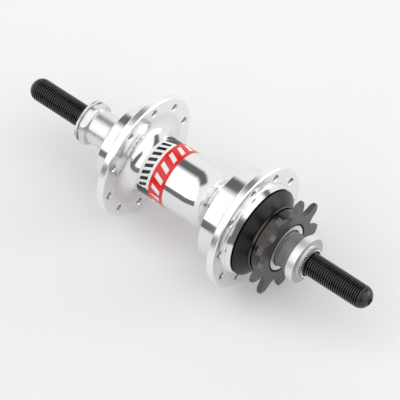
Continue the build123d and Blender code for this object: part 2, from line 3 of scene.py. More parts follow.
import bmesh
import bpy
import numpy as np
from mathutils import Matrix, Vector


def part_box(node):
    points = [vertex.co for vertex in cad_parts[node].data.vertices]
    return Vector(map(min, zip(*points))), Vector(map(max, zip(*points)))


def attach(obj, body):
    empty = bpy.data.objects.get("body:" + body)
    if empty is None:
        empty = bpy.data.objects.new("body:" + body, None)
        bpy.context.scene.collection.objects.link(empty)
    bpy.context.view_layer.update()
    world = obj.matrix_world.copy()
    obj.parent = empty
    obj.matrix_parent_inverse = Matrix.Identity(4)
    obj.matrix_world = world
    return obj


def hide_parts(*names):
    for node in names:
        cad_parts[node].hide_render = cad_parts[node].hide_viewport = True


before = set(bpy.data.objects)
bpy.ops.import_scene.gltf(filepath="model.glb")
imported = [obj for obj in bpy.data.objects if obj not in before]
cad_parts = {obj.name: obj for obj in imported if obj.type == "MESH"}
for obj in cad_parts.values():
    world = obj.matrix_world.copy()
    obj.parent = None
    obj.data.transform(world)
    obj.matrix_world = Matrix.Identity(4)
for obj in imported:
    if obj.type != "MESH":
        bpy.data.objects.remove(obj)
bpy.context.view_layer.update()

# Camera: a long lens that looks down on the hub from the drive side, at the photograph's angle. The frame is
# square, 400 pixels a side.
MM = 0.001
CAMERA_AZIMUTH = math.radians(-50.151)
CAMERA_ELEVATION = math.radians(50.731)
CAMERA_DISTANCE = 1426.4 * MM
CAMERA_AIM = Vector((-1.66, -2.5, -2.35)) * MM  # the point in the middle of the view
lens = bpy.data.cameras.new("camera")
lens.sensor_width = 36.0
lens.lens = 321.17
lens.clip_start = 0.1
camera = bpy.data.objects.new("camera", lens)
camera.rotation_euler = (math.pi / 2 - CAMERA_ELEVATION, 0, CAMERA_AZIMUTH)
towards_camera = Vector(
    (
        math.sin(CAMERA_AZIMUTH) * math.cos(CAMERA_ELEVATION),
        -math.cos(CAMERA_AZIMUTH) * math.cos(CAMERA_ELEVATION),
        math.sin(CAMERA_ELEVATION),
    )
)
camera.location = CAMERA_AIM + CAMERA_DISTANCE * towards_camera
bpy.context.scene.collection.objects.link(camera)
bpy.context.scene.camera = camera
bpy.context.scene.view_settings.view_transform = "Standard"


# Studio: a matt white table, with a low grey card on the camera's side that is seen only in reflections.
# Overhead are pale cloths and a brighter softbox, a dark gap that draws the polished shell's black bands, a
# dark patch where the camera stands, and one small lamp low to the right.
def linear(hex_colour):
    """The linear RGBA of an sRGB colour written as a hex number such as 0xE0201C."""
    channels = [(hex_colour >> shift & 255) / 255 for shift in (16, 8, 0)]
    return (*[c / 12.92 if c <= 0.04045 else ((c + 0.055) / 1.055) ** 2.4 for c in channels], 1.0)


def add_node(tree, kind, sockets=None, **settings):
    """Adds a shader node with its settings. A socket is filled with a value or linked to another's output."""
    node = tree.nodes.new(kind)
    for name, value in settings.items():
        setattr(node, name, value)
    for socket, value in (sockets or {}).items():
        if isinstance(value, bpy.types.NodeSocket):
            tree.links.new(value, node.inputs[socket])
        else:
            node.inputs[socket].default_value = value
    return node


def new_material(name, colour, metallic, roughness, specular=0.5):
    """A material with one Principled shader, which has these values on its own sockets."""
    material = bpy.data.materials.new(name)
    material.use_nodes = True
    shader = material.node_tree.nodes["Principled BSDF"]
    shader.inputs["Base Color"].default_value = linear(colour)
    shader.inputs["Metallic"].default_value = metallic
    shader.inputs["Roughness"].default_value = roughness
    shader.inputs["Specular IOR Level"].default_value = specular
    return material


# Painted board, flat white and flat grey: no shine at all, so that the table shows only the hub's shadow
table_white = new_material("matt_white_table", 0xF6F6F6, 0.0, 0.9, specular=0.0)
card_grey = new_material("dark_card_grey", 0x7A7A7A, 0.0, 0.9, specular=0.0)
FLOOR_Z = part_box("hub_shell")[0].z
HALF_FLOOR = 4.0
CARD_X = -290 * MM
CARD_TOP = 66 * MM
CARD_FRONT = -1500 * MM
CARD_BACK = 330 * MM
floor_corners = [(x * HALF_FLOOR, y * HALF_FLOOR, FLOOR_Z) for x, y in ((-1, -1), (1, -1), (1, 1), (-1, 1))]
card_corners = [
    (CARD_X, CARD_FRONT, FLOOR_Z),
    (CARD_X, CARD_BACK, FLOOR_Z),
    (CARD_X, CARD_BACK, CARD_TOP),
    (CARD_X, CARD_FRONT, CARD_TOP),
]
for stage_name, corners, paint in (
    ("floor", floor_corners, table_white),
    ("dark_card", card_corners, card_grey),
):
    flat_mesh = bpy.data.meshes.new(stage_name)
    flat_mesh.from_pydata(corners, [], [(0, 1, 2, 3)])
    flat_mesh.materials.append(paint)
    staged = bpy.data.objects.new(stage_name, flat_mesh)
    bpy.context.scene.collection.objects.link(staged)
bpy.data.objects["dark_card"].visible_camera = False

SOFTBOX_LEVEL = 1.3
PALE_LEVEL = 1.0
GAP_LEVEL = 0.15
HORIZON = 0.001  # the least height to divide by, so that a level direction still meets the ceiling
SIDE_LIGHT_LEVEL = 2.4
SIDE_LIGHT_CORE = math.radians(10)
SIDE_LIGHT_EDGE = math.radians(23)
SIDE_LIGHT_TOWARDS = (0.742, -0.643, 0.182)  # low, to the right of the camera
world = bpy.data.worlds.new("studio")
bpy.context.scene.world = world
world.use_nodes = True
sky = world.node_tree
direction = add_node(sky, "ShaderNodeTexCoord").outputs["Generated"]
away = (math.sin(-CAMERA_AZIMUTH), math.cos(CAMERA_AZIMUTH), 0.0)
across = (math.cos(CAMERA_AZIMUTH), math.sin(CAMERA_AZIMUTH), 0.0)
split = add_node(sky, "ShaderNodeSeparateXYZ", {0: direction})
height = add_node(
    sky, "ShaderNodeMath", {0: split.outputs["Z"], 1: HORIZON}, operation="MAXIMUM"
).outputs[0]
depth_part = add_node(
    sky, "ShaderNodeVectorMath", {0: direction, 1: away}, operation="DOT_PRODUCT"
).outputs["Value"]
side_part = add_node(
    sky, "ShaderNodeVectorMath", {0: direction, 1: across}, operation="DOT_PRODUCT"
).outputs["Value"]
# Where the direction meets a ceiling one unit up: its depth away from the camera and its place to the right
ceiling_depth = add_node(sky, "ShaderNodeMath", {0: depth_part, 1: height}, operation="DIVIDE").outputs[0]
ceiling_side = add_node(sky, "ShaderNodeMath", {0: side_part, 1: height}, operation="DIVIDE").outputs[0]
bearing = add_node(sky, "ShaderNodeMath", {0: side_part, 1: depth_part}, operation="DIVIDE").outputs[0]
bearing = add_node(sky, "ShaderNodeMath", {0: bearing}, operation="ABSOLUTE").outputs[0]
RAMPS = {
    # edge of a cloth: (what it reads, from where, to where, share before, share after)
    "gap_starts": (ceiling_depth, 0.26, 0.5, 0.0, 1.0),
    "gap_ends": (ceiling_depth, 0.85, 1.3, 1.0, 0.0),
    "gap_side": (ceiling_side, -1.05, -0.65, 0.0, 1.0),
    "softbox_depth": (ceiling_depth, 0.2, 0.34, 1.0, 0.0),
    "softbox_left": (split.outputs["Y"], 0.8, 0.92, 1.0, 0.0),
    "stand_width": (bearing, 0.22, 0.36, 1.0, 0.0),
    "stand_height": (ceiling_depth, -0.72, -0.55, 1.0, 0.0),
}
ramps = {}
for ramp_name, (source, start, end, before, after) in RAMPS.items():
    ramps[ramp_name] = add_node(
        sky,
        "ShaderNodeMapRange",
        {"Value": source, "From Min": start, "From Max": end, "To Min": before, "To Max": after},
        interpolation_type="SMOOTHSTEP",
    ).outputs[0]
softbox = add_node(
    sky, "ShaderNodeMath", {0: ramps["softbox_depth"], 1: ramps["softbox_left"]}, operation="MULTIPLY"
).outputs[0]
gap = add_node(
    sky, "ShaderNodeMath", {0: ramps["gap_starts"], 1: ramps["gap_ends"]}, operation="MULTIPLY"
).outputs[0]
gap = add_node(sky, "ShaderNodeMath", {0: gap, 1: ramps["gap_side"]}, operation="MULTIPLY").outputs[0]
stand = add_node(
    sky, "ShaderNodeMath", {0: ramps["stand_width"], 1: ramps["stand_height"]}, operation="MULTIPLY"
).outputs[0]
dark = add_node(sky, "ShaderNodeMath", {0: gap, 1: stand}, operation="MAXIMUM").outputs[0]
lit = add_node(
    sky, "ShaderNodeMapRange", {"Value": softbox, "To Min": PALE_LEVEL, "To Max": SOFTBOX_LEVEL}
).outputs[0]
level = add_node(sky, "ShaderNodeMix", {0: dark, 2: lit, 3: GAP_LEVEL}, data_type="FLOAT").outputs[0]
towards_light = add_node(
    sky, "ShaderNodeVectorMath", {0: direction, 1: SIDE_LIGHT_TOWARDS}, operation="DOT_PRODUCT"
).outputs["Value"]
side_light = add_node(
    sky,
    "ShaderNodeMapRange",
    {
        "Value": towards_light,
        "From Min": math.cos(SIDE_LIGHT_EDGE),
        "From Max": math.cos(SIDE_LIGHT_CORE),
        "To Max": SIDE_LIGHT_LEVEL,
    },
    interpolation_type="SMOOTHSTEP",
).outputs[0]
level = add_node(sky, "ShaderNodeMath", {0: level, 1: side_light}, operation="ADD").outputs[0]
background = sky.nodes["Background"]
background.inputs["Color"].default_value = (1, 1, 1, 1)
sky.links.new(level, background.inputs["Strength"])


# Hub shell: one piece of aluminium alloy, turned on a lathe and then polished to a mirror. The lathe's finest
# marks are left as faint rings, and the flanges' faces are a little more satin than the barrel. The flanges'
# faces are also painted lighter than the barrel: painted light against the shaded table that they mirror.
# Each spoke hole and its countersink are coloured darker and duller.
def dress(material, *names):
    """Gives carried-over nodes a finish."""
    for name in names:
        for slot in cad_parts[name].material_slots:
            slot.material = material


def axle_radius(tree, place):
    """How far a place is off the axle's line: the length of its X and Z together."""
    off_line = add_node(tree, "ShaderNodeVectorMath", {0: place, 1: (1, 0, 1)}, operation="MULTIPLY")
    return add_node(
        tree, "ShaderNodeVectorMath", {0: off_line.outputs[0]}, operation="LENGTH"
    ).outputs["Value"]


RING_PITCH = 0.35 * MM  # coarser than real turning marks, so that they show


def lathe_rings(tree, along, radius):
    """Fine rings about the axle's line: a one-way noise on a point's distance along it plus its radius."""
    step = add_node(tree, "ShaderNodeMath", {0: along, 1: radius}, operation="ADD").outputs[0]
    rings = add_node(
        tree,
        "ShaderNodeTexNoise",
        {"W": step, "Scale": 1 / RING_PITCH, "Detail": 2.0, "Roughness": 0.6},
        noise_dimensions="1D",
    )
    return rings.outputs["Fac"]


NOISE_LOW = 0.3  # a noise keeps mostly between these
NOISE_HIGH = 0.7
BARREL_FINISH = 0.06  # roughness
BOSS_FINISH = 0.14
FLANGE_SATIN = 0.09  # roughness added on the flanges' faces
BARREL_ENDS = (19.0 * MM, 23.5 * MM)  # the finish changes between these distances from the middle
HAZE_PATCH = 6.25 * MM
HAZE_RANGE = (0.75, 1.3)  # the haze multiplies the roughness by these
FLANGE_STARTS_R = 20.8 * MM
FLANGE_EDGE = 0.5 * MM
BARREL_COLOUR = 0xEAEBEC
# the flanges' faces are painted lighter than the barrel: painted light against the shaded table they mirror
FLANGE_PAINTED_LIGHT_COLOUR = 0xF4F5F5
# each spoke hole and its countersink are coloured darker and duller than the faces round them
HOLE_COLOUR = 0xCFCFCF
HOLE_FINISH = 0.28
SPOKE_CIRCLE_R = 23.3 * MM
SPOKE_STEP = math.radians(36)
RIGHT_FIRST_HOLE = math.radians(23.5)
LEFT_FIRST_HOLE = math.radians(5.5)
HOLE_EDGE_R = 1.78 * MM
HOLE_EDGE = 0.1 * MM
RING_STRENGTH = 0.01
RING_DEPTH = 0.02 * MM
polished = new_material("polished_aluminium", BARREL_COLOUR, 1.0, BARREL_FINISH)
tree = polished.node_tree
place = add_node(tree, "ShaderNodeTexCoord").outputs["Object"]
parts = add_node(tree, "ShaderNodeSeparateXYZ", {0: place}).outputs
along = parts["Y"]
radius = axle_radius(tree, place)
turn = add_node(tree, "ShaderNodeMath", {0: parts["Z"], 1: parts["X"]}, operation="ARCTAN2").outputs[0]
from_middle = add_node(tree, "ShaderNodeMath", {0: along}, operation="ABSOLUTE").outputs[0]
finish = add_node(
    tree,
    "ShaderNodeMapRange",
    {
        "Value": from_middle,
        "From Min": BARREL_ENDS[0],
        "From Max": BARREL_ENDS[1],
        "To Min": BARREL_FINISH,
        "To Max": BOSS_FINISH,
    },
).outputs[0]
haze = add_node(tree, "ShaderNodeTexNoise", {"Vector": place, "Scale": 1 / HAZE_PATCH, "Detail": 3.0})
uneven = add_node(
    tree,
    "ShaderNodeMapRange",
    {
        "Value": haze.outputs["Fac"],
        "From Min": NOISE_LOW,
        "From Max": NOISE_HIGH,
        "To Min": HAZE_RANGE[0],
        "To Max": HAZE_RANGE[1],
    },
).outputs[0]
finish = add_node(tree, "ShaderNodeMath", {0: finish, 1: uneven}, operation="MULTIPLY").outputs[0]
satin = add_node(
    tree,
    "ShaderNodeMapRange",
    {
        "Value": radius,
        "From Min": FLANGE_STARTS_R,
        "From Max": FLANGE_STARTS_R + FLANGE_EDGE,
        "To Max": FLANGE_SATIN,
    },
).outputs[0]
finish = add_node(tree, "ShaderNodeMath", {0: finish, 1: satin}, operation="ADD").outputs[0]
# The nearest hole: how far round from it the point is, how far above it, and so how far from its middle
on_left = add_node(tree, "ShaderNodeMath", {0: along, 1: 0.0}, operation="GREATER_THAN").outputs[0]
first_hole = add_node(
    tree, "ShaderNodeMapRange", {"Value": on_left, "To Min": RIGHT_FIRST_HOLE, "To Max": LEFT_FIRST_HOLE}
).outputs[0]
past_hole = add_node(tree, "ShaderNodeMath", {0: turn, 1: first_hole}, operation="SUBTRACT").outputs[0]
past_hole = add_node(
    tree, "ShaderNodeMath", {0: past_hole, 1: SPOKE_STEP / 2, 2: -SPOKE_STEP / 2}, operation="WRAP"
).outputs[0]
beside = add_node(tree, "ShaderNodeMath", {0: past_hole, 1: SPOKE_CIRCLE_R}, operation="MULTIPLY").outputs[0]
above = add_node(tree, "ShaderNodeMath", {0: radius, 1: SPOKE_CIRCLE_R}, operation="SUBTRACT").outputs[0]
offset = add_node(tree, "ShaderNodeCombineXYZ", {0: beside, 1: above}).outputs[0]
hole_distance = add_node(tree, "ShaderNodeVectorMath", {0: offset}, operation="LENGTH").outputs["Value"]
in_hole = add_node(
    tree,
    "ShaderNodeMapRange",
    {
        "Value": hole_distance,
        "From Min": HOLE_EDGE_R - HOLE_EDGE,
        "From Max": HOLE_EDGE_R,
        "To Min": 1.0,
        "To Max": 0.0,
    },
).outputs[0]
on_face = add_node(
    tree, "ShaderNodeMath", {0: radius, 1: FLANGE_STARTS_R}, operation="GREATER_THAN"
).outputs[0]
metal = add_node(
    tree,
    "ShaderNodeMix",
    {0: on_face, 6: linear(BARREL_COLOUR), 7: linear(FLANGE_PAINTED_LIGHT_COLOUR)},
    data_type="RGBA",
).outputs[2]
metal = add_node(
    tree, "ShaderNodeMix", {0: in_hole, 6: metal, 7: linear(HOLE_COLOUR)}, data_type="RGBA"
).outputs[2]
finish = add_node(
    tree, "ShaderNodeMix", {0: in_hole, 2: finish, 3: HOLE_FINISH}, data_type="FLOAT"
).outputs[0]
ring_bump = add_node(
    tree,
    "ShaderNodeBump",
    {"Height": lathe_rings(tree, along, radius), "Strength": RING_STRENGTH, "Distance": RING_DEPTH},
).outputs["Normal"]
shader = tree.nodes["Principled BSDF"]
tree.links.new(metal, shader.inputs["Base Color"])
tree.links.new(finish, shader.inputs["Roughness"])
tree.links.new(ring_bump, shader.inputs["Normal"])
dress(polished, "hub_shell")

# Label: a glossy printed film wrapped round the barrel, red all round, with a white tab on its upper side. It
# carries only plain slanted bars, white on the red and black on the white.
LABEL_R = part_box("label")[1].x
BAND_EDGE = 15.2 * MM  # distance of the band's outer edge from the middle, on the left
TAB_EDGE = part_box("label")[1].y
FILM_THICKNESS = 0.1 * MM
FILM_GLOSS = 0.16
BAND_RED = 0xE6231E
BAR_WHITE = 0xF4F2F0
TAB_WHITE = 0xF4F4F4
TICK_BLACK = 0x101010
SLANT = 0.45
PRINT = {
    # row: (middle, half its height, pitch, share of ink, slant)
    "bars": (11.65 * MM, 2.1 * MM, 5.2 * MM, 0.42, SLANT),
    "ticks": (18.15 * MM, 1.75 * MM, 2.9 * MM, 0.55, -SLANT),
}
film = new_material("printed_film", BAND_RED, 0.0, FILM_GLOSS)
tree = film.node_tree
place = add_node(tree, "ShaderNodeTexCoord").outputs["Object"]
parts = add_node(tree, "ShaderNodeSeparateXYZ", {0: place}).outputs
along = parts["Y"]
turn = add_node(tree, "ShaderNodeMath", {0: parts["Z"], 1: parts["X"]}, operation="ARCTAN2").outputs[0]
round_way = add_node(tree, "ShaderNodeMath", {0: turn, 1: LABEL_R}, operation="MULTIPLY").outputs[0]
printed = {}
for row_name, (middle, half_height, pitch, share, slant) in PRINT.items():
    rise = add_node(tree, "ShaderNodeMath", {0: along, 1: middle}, operation="SUBTRACT").outputs[0]
    leant = add_node(
        tree, "ShaderNodeMath", {0: rise, 1: slant, 2: round_way}, operation="MULTIPLY_ADD"
    ).outputs[0]
    cycle = add_node(tree, "ShaderNodeMath", {0: leant, 1: 1 / pitch}, operation="MULTIPLY").outputs[0]
    cycle = add_node(tree, "ShaderNodeMath", {0: cycle}, operation="FRACT").outputs[0]
    in_bar = add_node(tree, "ShaderNodeMath", {0: cycle, 1: share}, operation="LESS_THAN").outputs[0]
    rise = add_node(tree, "ShaderNodeMath", {0: rise}, operation="ABSOLUTE").outputs[0]
    in_row = add_node(tree, "ShaderNodeMath", {0: rise, 1: half_height}, operation="LESS_THAN").outputs[0]
    printed[row_name] = add_node(
        tree, "ShaderNodeMath", {0: in_bar, 1: in_row}, operation="MULTIPLY"
    ).outputs[0]
band_print = add_node(
    tree,
    "ShaderNodeMix",
    {0: printed["bars"], 6: linear(BAND_RED), 7: linear(BAR_WHITE)},
    data_type="RGBA",
).outputs[2]
tab_print = add_node(
    tree,
    "ShaderNodeMix",
    {0: printed["ticks"], 6: linear(TAB_WHITE), 7: linear(TICK_BLACK)},
    data_type="RGBA",
).outputs[2]
on_tab = add_node(tree, "ShaderNodeMath", {0: along, 1: BAND_EDGE}, operation="GREATER_THAN").outputs[0]
whole_print = add_node(
    tree, "ShaderNodeMix", {0: on_tab, 6: band_print, 7: tab_print}, data_type="RGBA"
).outputs[2]
tree.links.new(whole_print, tree.nodes["Principled BSDF"].inputs["Base Color"])
dress(film, "label")

# Label's black ends: beyond both ends of the white tab the same film goes on in solid black, as glossy as the
# rest of it, stuck to the barrel and as wide as the tab.
BLACK_ARCS = {"label_black_end_low": (177.9, 203.0), "label_black_end_high": (44.0, 66.1)}  # degrees
ARC_ROWS = 25
ARC_SHARP_ANGLE = 35.0


def film_strip(name, arc):
    """A closed strip of film on the barrel: a rectangle, as thick as the film and as wide as the tab, carried
    round the axle's line in equal steps from one turn to the other."""
    turns = np.radians(np.linspace(*arc, ARC_ROWS))[:, None]
    corner_radii = np.array([LABEL_R, LABEL_R, LABEL_R - FILM_THICKNESS, LABEL_R - FILM_THICKNESS])
    corner_places = np.broadcast_to([BAND_EDGE, TAB_EDGE, TAB_EDGE, BAND_EDGE], (ARC_ROWS, 4))
    points = np.stack([corner_radii * np.cos(turns), corner_places, corner_radii * np.sin(turns)], axis=-1)
    index = np.arange(4 * ARC_ROWS).reshape(ARC_ROWS, 4)
    after = np.roll(index, -1, axis=1)
    walls = np.stack([index[:-1], after[:-1], after[1:], index[1:]], axis=-1).reshape(-1, 4)
    ends = [index[0][::-1].tolist(), index[-1].tolist()]
    mesh = bpy.data.meshes.new(name)
    mesh.from_pydata(points.reshape(-1, 3).tolist(), [], walls.tolist() + ends)
    work = bmesh.new()
    work.from_mesh(mesh)
    bmesh.ops.recalc_face_normals(work, faces=work.faces)
    work.to_mesh(mesh)
    work.free()
    mesh.shade_smooth()
    mesh.set_sharp_from_angle(angle=math.radians(ARC_SHARP_ANGLE))
    strip = bpy.data.objects.new(name, mesh)
    bpy.context.scene.collection.objects.link(strip)
    return strip


black_film = new_material("black_printed_film", 0x1C1C1D, 0.0, FILM_GLOSS)
for end_name, arc in BLACK_ARCS.items():
    black_end = film_strip(end_name, arc)
    black_end.data.materials.append(black_film)
    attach(black_end, "shell")


# Axle: a solid steel bar with an M10 x 1 thread rolled on both ends, round noses, and a key socket at the
# drive side. It is blackened and oiled. Its crests are painted lighter, as painted highlight, its grooves
# darker, as painted shade, and its noses a tone between. Its middle, in the bearings and sleeves, is ground
# plain.
MERGE_DISTANCE = 0.001 * MM
SLIVER_LENGTH = 0.0005 * MM


def turned(name, rows, columns, sharp_angle):
    """A closed mesh worked round the axle's line. A row is a station towards the drive side and a radius off
    the line, each one number or one for every column. Column j is at a turn of 360 j / (columns - 1) degrees
    from +X towards +Z, so the last repeats the first. Points that fall together are merged, which closes the
    seam and the poles, and an edge that bends more than sharp_angle degrees stays crisp."""
    stations = np.array([np.broadcast_to(station, columns) for station, radius in rows])
    radii = np.array([np.broadcast_to(radius, columns) for station, radius in rows])
    turns = np.linspace(0, 2 * np.pi, columns)
    points = np.stack([radii * np.cos(turns), -stations, radii * np.sin(turns)], axis=-1)
    index = np.arange(radii.size).reshape(radii.shape)
    quads = np.stack([index[:-1, :-1], index[:-1, 1:], index[1:, 1:], index[1:, :-1]], axis=-1)
    mesh = bpy.data.meshes.new(name)
    mesh.from_pydata(points.reshape(-1, 3).tolist(), [], quads.reshape(-1, 4).tolist())
    work = bmesh.new()
    work.from_mesh(mesh)
    bmesh.ops.remove_doubles(work, verts=work.verts, dist=MERGE_DISTANCE)
    bmesh.ops.dissolve_degenerate(work, edges=work.edges, dist=SLIVER_LENGTH)
    work.to_mesh(mesh)
    work.free()
    mesh.shade_smooth()
    mesh.set_sharp_from_angle(angle=math.radians(sharp_angle))
    piece = bpy.data.objects.new(name, mesh)
    bpy.context.scene.collection.objects.link(piece)
    return piece


def hexagon(across_flats, turns, flat_turn=0.0):
    """Radius of a hexagon at each turn: half its width over the cosine of the turn from the nearest flat's
    middle, where one flat's middle is at flat_turn."""
    return across_flats / 2 / np.cos((turns - flat_turn + np.pi / 6) % (np.pi / 3) - np.pi / 6)


CREST_R = 4.9 * MM
THREAD_DEPTH = 0.61 * MM
THREAD_PITCH = 1.0 * MM
ROWS_PER_PITCH = 10
AXLE_COLUMNS = 73
AXLE_SHARP_ANGLE = 50.0
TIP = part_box("axle")[1].y
NUT_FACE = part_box("left_locknut")[1].y
NOSE_ROUND = 4.4 * MM
NOSE_START = TIP - NOSE_ROUND
NOSE_SINES = (0.42, 0.97)  # of the turn along the nose's round, from the thread's end to near the tip
NOSE_ROWS = 9
THREAD_IN = NUT_FACE - 0.4 * MM
THREAD_OUT = TIP - 2.6 * MM
THREAD_FADE = 1.4 * MM
THREAD_RUN_IN = 0.3 * MM
PROFILE_SWING = 0.75  # of the cosine, whose tops are then cut off at 0 and 1
IN_NUT_R = 4.675 * MM
JOURNAL_R = 5.0 * MM
LEFT_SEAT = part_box("left_locknut")[0].y
RIGHT_SEAT = -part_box("right_locknut")[1].y
SOCKET_AF = 3.0 * MM
SOCKET_DEPTH = 2.1 * MM
SOCKET_FLARE = 1.2
axle_turns = np.linspace(0, 2 * np.pi, AXLE_COLUMNS)


def nose_radius(station):
    """Radius of the axle's outline at a station: the crest, then a quarter circle round the nose."""
    past = np.clip(np.abs(station) - NOSE_START, 0, NOSE_ROUND)
    return CREST_R - NOSE_ROUND + np.sqrt(NOSE_ROUND**2 - past**2)


def thread_rows(start, end):
    """Rows of a thread between two stations. A row keeps its place in the thread's profile as it goes round,
    so it climbs one pitch a turn. The profile is a cosine cut flat at crest and root, and the depth fades out
    towards the nose and inside the nut."""
    count = math.ceil((end - start) / THREAD_PITCH + 1) * ROWS_PER_PITCH
    pitches = np.arange(count + 1)[:, None] / ROWS_PER_PITCH - 1
    stations = np.clip(start + THREAD_PITCH * (pitches + axle_turns / (2 * np.pi)), start, end)
    groove = np.clip(0.5 - PROFILE_SWING * np.cos(2 * np.pi * pitches), 0, 1)
    run_out = (THREAD_OUT - np.abs(stations)) / THREAD_FADE
    run_in = (np.abs(stations) - THREAD_IN) / THREAD_RUN_IN
    fade = np.clip(np.minimum(run_out, run_in), 0, 1)
    return list(zip(stations, nose_radius(stations) - THREAD_DEPTH * groove * fade))


nose_sines = np.sin(np.linspace(math.asin(NOSE_SINES[0]), math.asin(NOSE_SINES[1]), NOSE_ROWS))
nose_stations = NOSE_START + NOSE_ROUND * nose_sines
socket = hexagon(SOCKET_AF, axle_turns)
axle_rows = [
    (-TIP, 0.0),
    *[(-station, nose_radius(station)) for station in nose_stations[::-1]],
    *thread_rows(-THREAD_OUT, -THREAD_IN),
    (-LEFT_SEAT, IN_NUT_R),
    (-LEFT_SEAT, JOURNAL_R),
    (RIGHT_SEAT, JOURNAL_R),
    (RIGHT_SEAT, IN_NUT_R),
    *thread_rows(THREAD_IN, THREAD_OUT),
    *[(station, nose_radius(station)) for station in nose_stations],
    (TIP - 0.12 * MM, socket * SOCKET_FLARE),  # the socket's chamfer
    (TIP - 0.5 * MM, socket),  # its wall
    (TIP - SOCKET_DEPTH, socket),
    (TIP - SOCKET_DEPTH - 0.5 * MM, 0.0),  # its drilled point
]
axle = turned("threaded_axle", axle_rows, AXLE_COLUMNS, AXLE_SHARP_ANGLE)


def mottle(material, size, low, high, detail=4.0, crumble=0.5):
    """Roughness that wavers between low and high in patches of about the size given. Detail and crumble are
    the noise's own detail and roughness."""
    tree = material.node_tree
    place = add_node(tree, "ShaderNodeTexCoord").outputs["Object"]
    patches = add_node(
        tree,
        "ShaderNodeTexNoise",
        {"Vector": place, "Scale": 1 / size, "Detail": detail, "Roughness": crumble},
    ).outputs["Fac"]
    wavered = add_node(
        tree,
        "ShaderNodeMapRange",
        {"Value": patches, "From Min": NOISE_LOW, "From Max": NOISE_HIGH, "To Min": low, "To Max": high},
    ).outputs[0]
    tree.links.new(wavered, tree.nodes["Principled BSDF"].inputs["Roughness"])


CREST_EDGES = (CREST_R - 0.35 * MM, CREST_R - 0.02 * MM)  # radii where the crests' painted highlight starts and is full
NOSE_HIGHLIGHT_SHARE = 0.4  # as a share of the crests' painted highlight
OIL_PATCH = MM / 0.26  # 3.8 mm
black_oxide = new_material("oiled_black_oxide", 0x3C3B3C, 1.0, 0.25)
tree = black_oxide.node_tree
place = add_node(tree, "ShaderNodeTexCoord").outputs["Object"]
along = add_node(tree, "ShaderNodeSeparateXYZ", {0: place}).outputs["Y"]
radius = axle_radius(tree, place)
from_middle = add_node(tree, "ShaderNodeMath", {0: along}, operation="ABSOLUTE").outputs[0]
on_crest = add_node(
    tree,
    "ShaderNodeMapRange",
    {"Value": radius, "From Min": CREST_EDGES[0], "From Max": CREST_EDGES[1]},
    interpolation_type="SMOOTHSTEP",
).outputs[0]
on_nose = add_node(
    tree,
    "ShaderNodeMapRange",
    {
        "Value": from_middle,
        "From Min": THREAD_OUT - THREAD_FADE,
        "From Max": THREAD_OUT,
        "To Max": NOSE_HIGHLIGHT_SHARE,
    },
    interpolation_type="SMOOTHSTEP",
).outputs[0]
painted_highlight = add_node(tree, "ShaderNodeMath", {0: on_crest, 1: on_nose}, operation="MAXIMUM").outputs[0]
# Crests painted lighter as painted highlight, grooves darker as painted shade, noses a tone between
highlight_and_shade = add_node(
    tree, "ShaderNodeMix", {0: painted_highlight, 6: linear(0x1B1B1C), 7: linear(0x646465)}, data_type="RGBA"
).outputs[2]
tree.links.new(highlight_and_shade, tree.nodes["Principled BSDF"].inputs["Base Color"])
mottle(black_oxide, OIL_PATCH, 0.18, 0.38, detail=5.0, crumble=0.6)
axle.data.materials.append(black_oxide)
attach(axle, "axle")
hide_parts("axle")

# Left locknut: steel, plated bright with zinc, which is shiny with a slight cloud. A thin ring with straight
# knurling bites on the frame, and behind a groove is the hexagon, turned down at its corners.
NUT_COLUMNS = 289
NUT_SHARP_ANGLE = 25.0
LEFT_NUT_R = 9.4 * MM
LEFT_NUT_AF = 17.0 * MM
KNURL_TEETH = 72
KNURL_DEPTH = 0.16 * MM
FACE_TEETH = 36
FACE_TOOTH_DEPTH = 0.25 * MM
FLAT_TURN = math.radians(1.0)
PLATE_PATCH = MM / 0.3  # 3.3 mm
nut_turns = np.linspace(0, 2 * np.pi, NUT_COLUMNS)


def teeth(count):
    """A triangular wave round the nut, from 0 in the middle of a crest to 1 in the middle of a root."""
    return np.abs((nut_turns * count / (2 * np.pi)) % 1 * 2 - 1)


hex_r = hexagon(LEFT_NUT_AF, nut_turns, FLAT_TURN)
knurl = LEFT_NUT_R - KNURL_DEPTH * teeth(KNURL_TEETH)
bite = FACE_TOOTH_DEPTH * teeth(FACE_TEETH)
left_nut_rows = [
    (-LEFT_SEAT, IN_NUT_R),  # the bore, widened at its mouth
    (-NUT_FACE + 0.33 * MM, IN_NUT_R),
    (-NUT_FACE, JOURNAL_R),
    (-NUT_FACE, 6.3 * MM),  # the face, with its bite
    (-NUT_FACE + bite, 6.4 * MM),
    (-NUT_FACE + bite, 8.7 * MM),
    (-NUT_FACE + 0.3 * MM, 8.95 * MM),  # the knurled ring
    (-NUT_FACE + 0.45 * MM, knurl),
    (-NUT_FACE + 1.35 * MM, knurl),
    (-NUT_FACE + 1.5 * MM, 9.1 * MM),
    (-NUT_FACE + 1.5 * MM, 8.1 * MM),  # the groove
    (-NUT_FACE + 2.0 * MM, 8.1 * MM),
    (-NUT_FACE + 2.0 * MM, np.minimum(hex_r, 9.1 * MM)),  # the hexagon
    (-NUT_FACE + 2.3 * MM, np.minimum(hex_r, LEFT_NUT_R)),
    (-LEFT_SEAT - 0.9 * MM, np.minimum(hex_r, LEFT_NUT_R)),
    (-LEFT_SEAT - 0.45 * MM, np.minimum(hex_r, LEFT_NUT_R - 0.3 * MM)),
    (-LEFT_SEAT, np.minimum(hex_r, 8.75 * MM)),
    (-LEFT_SEAT, IN_NUT_R),
]
left_nut = turned("knurled_left_locknut", left_nut_rows, NUT_COLUMNS, NUT_SHARP_ANGLE)
bright_zinc = new_material("bright_zinc_plate", 0xE0E1E3, 1.0, 0.34)
mottle(bright_zinc, PLATE_PATCH, 0.28, 0.4)
left_nut.data.materials.append(bright_zinc)
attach(left_nut, "axle")
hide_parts("left_locknut")
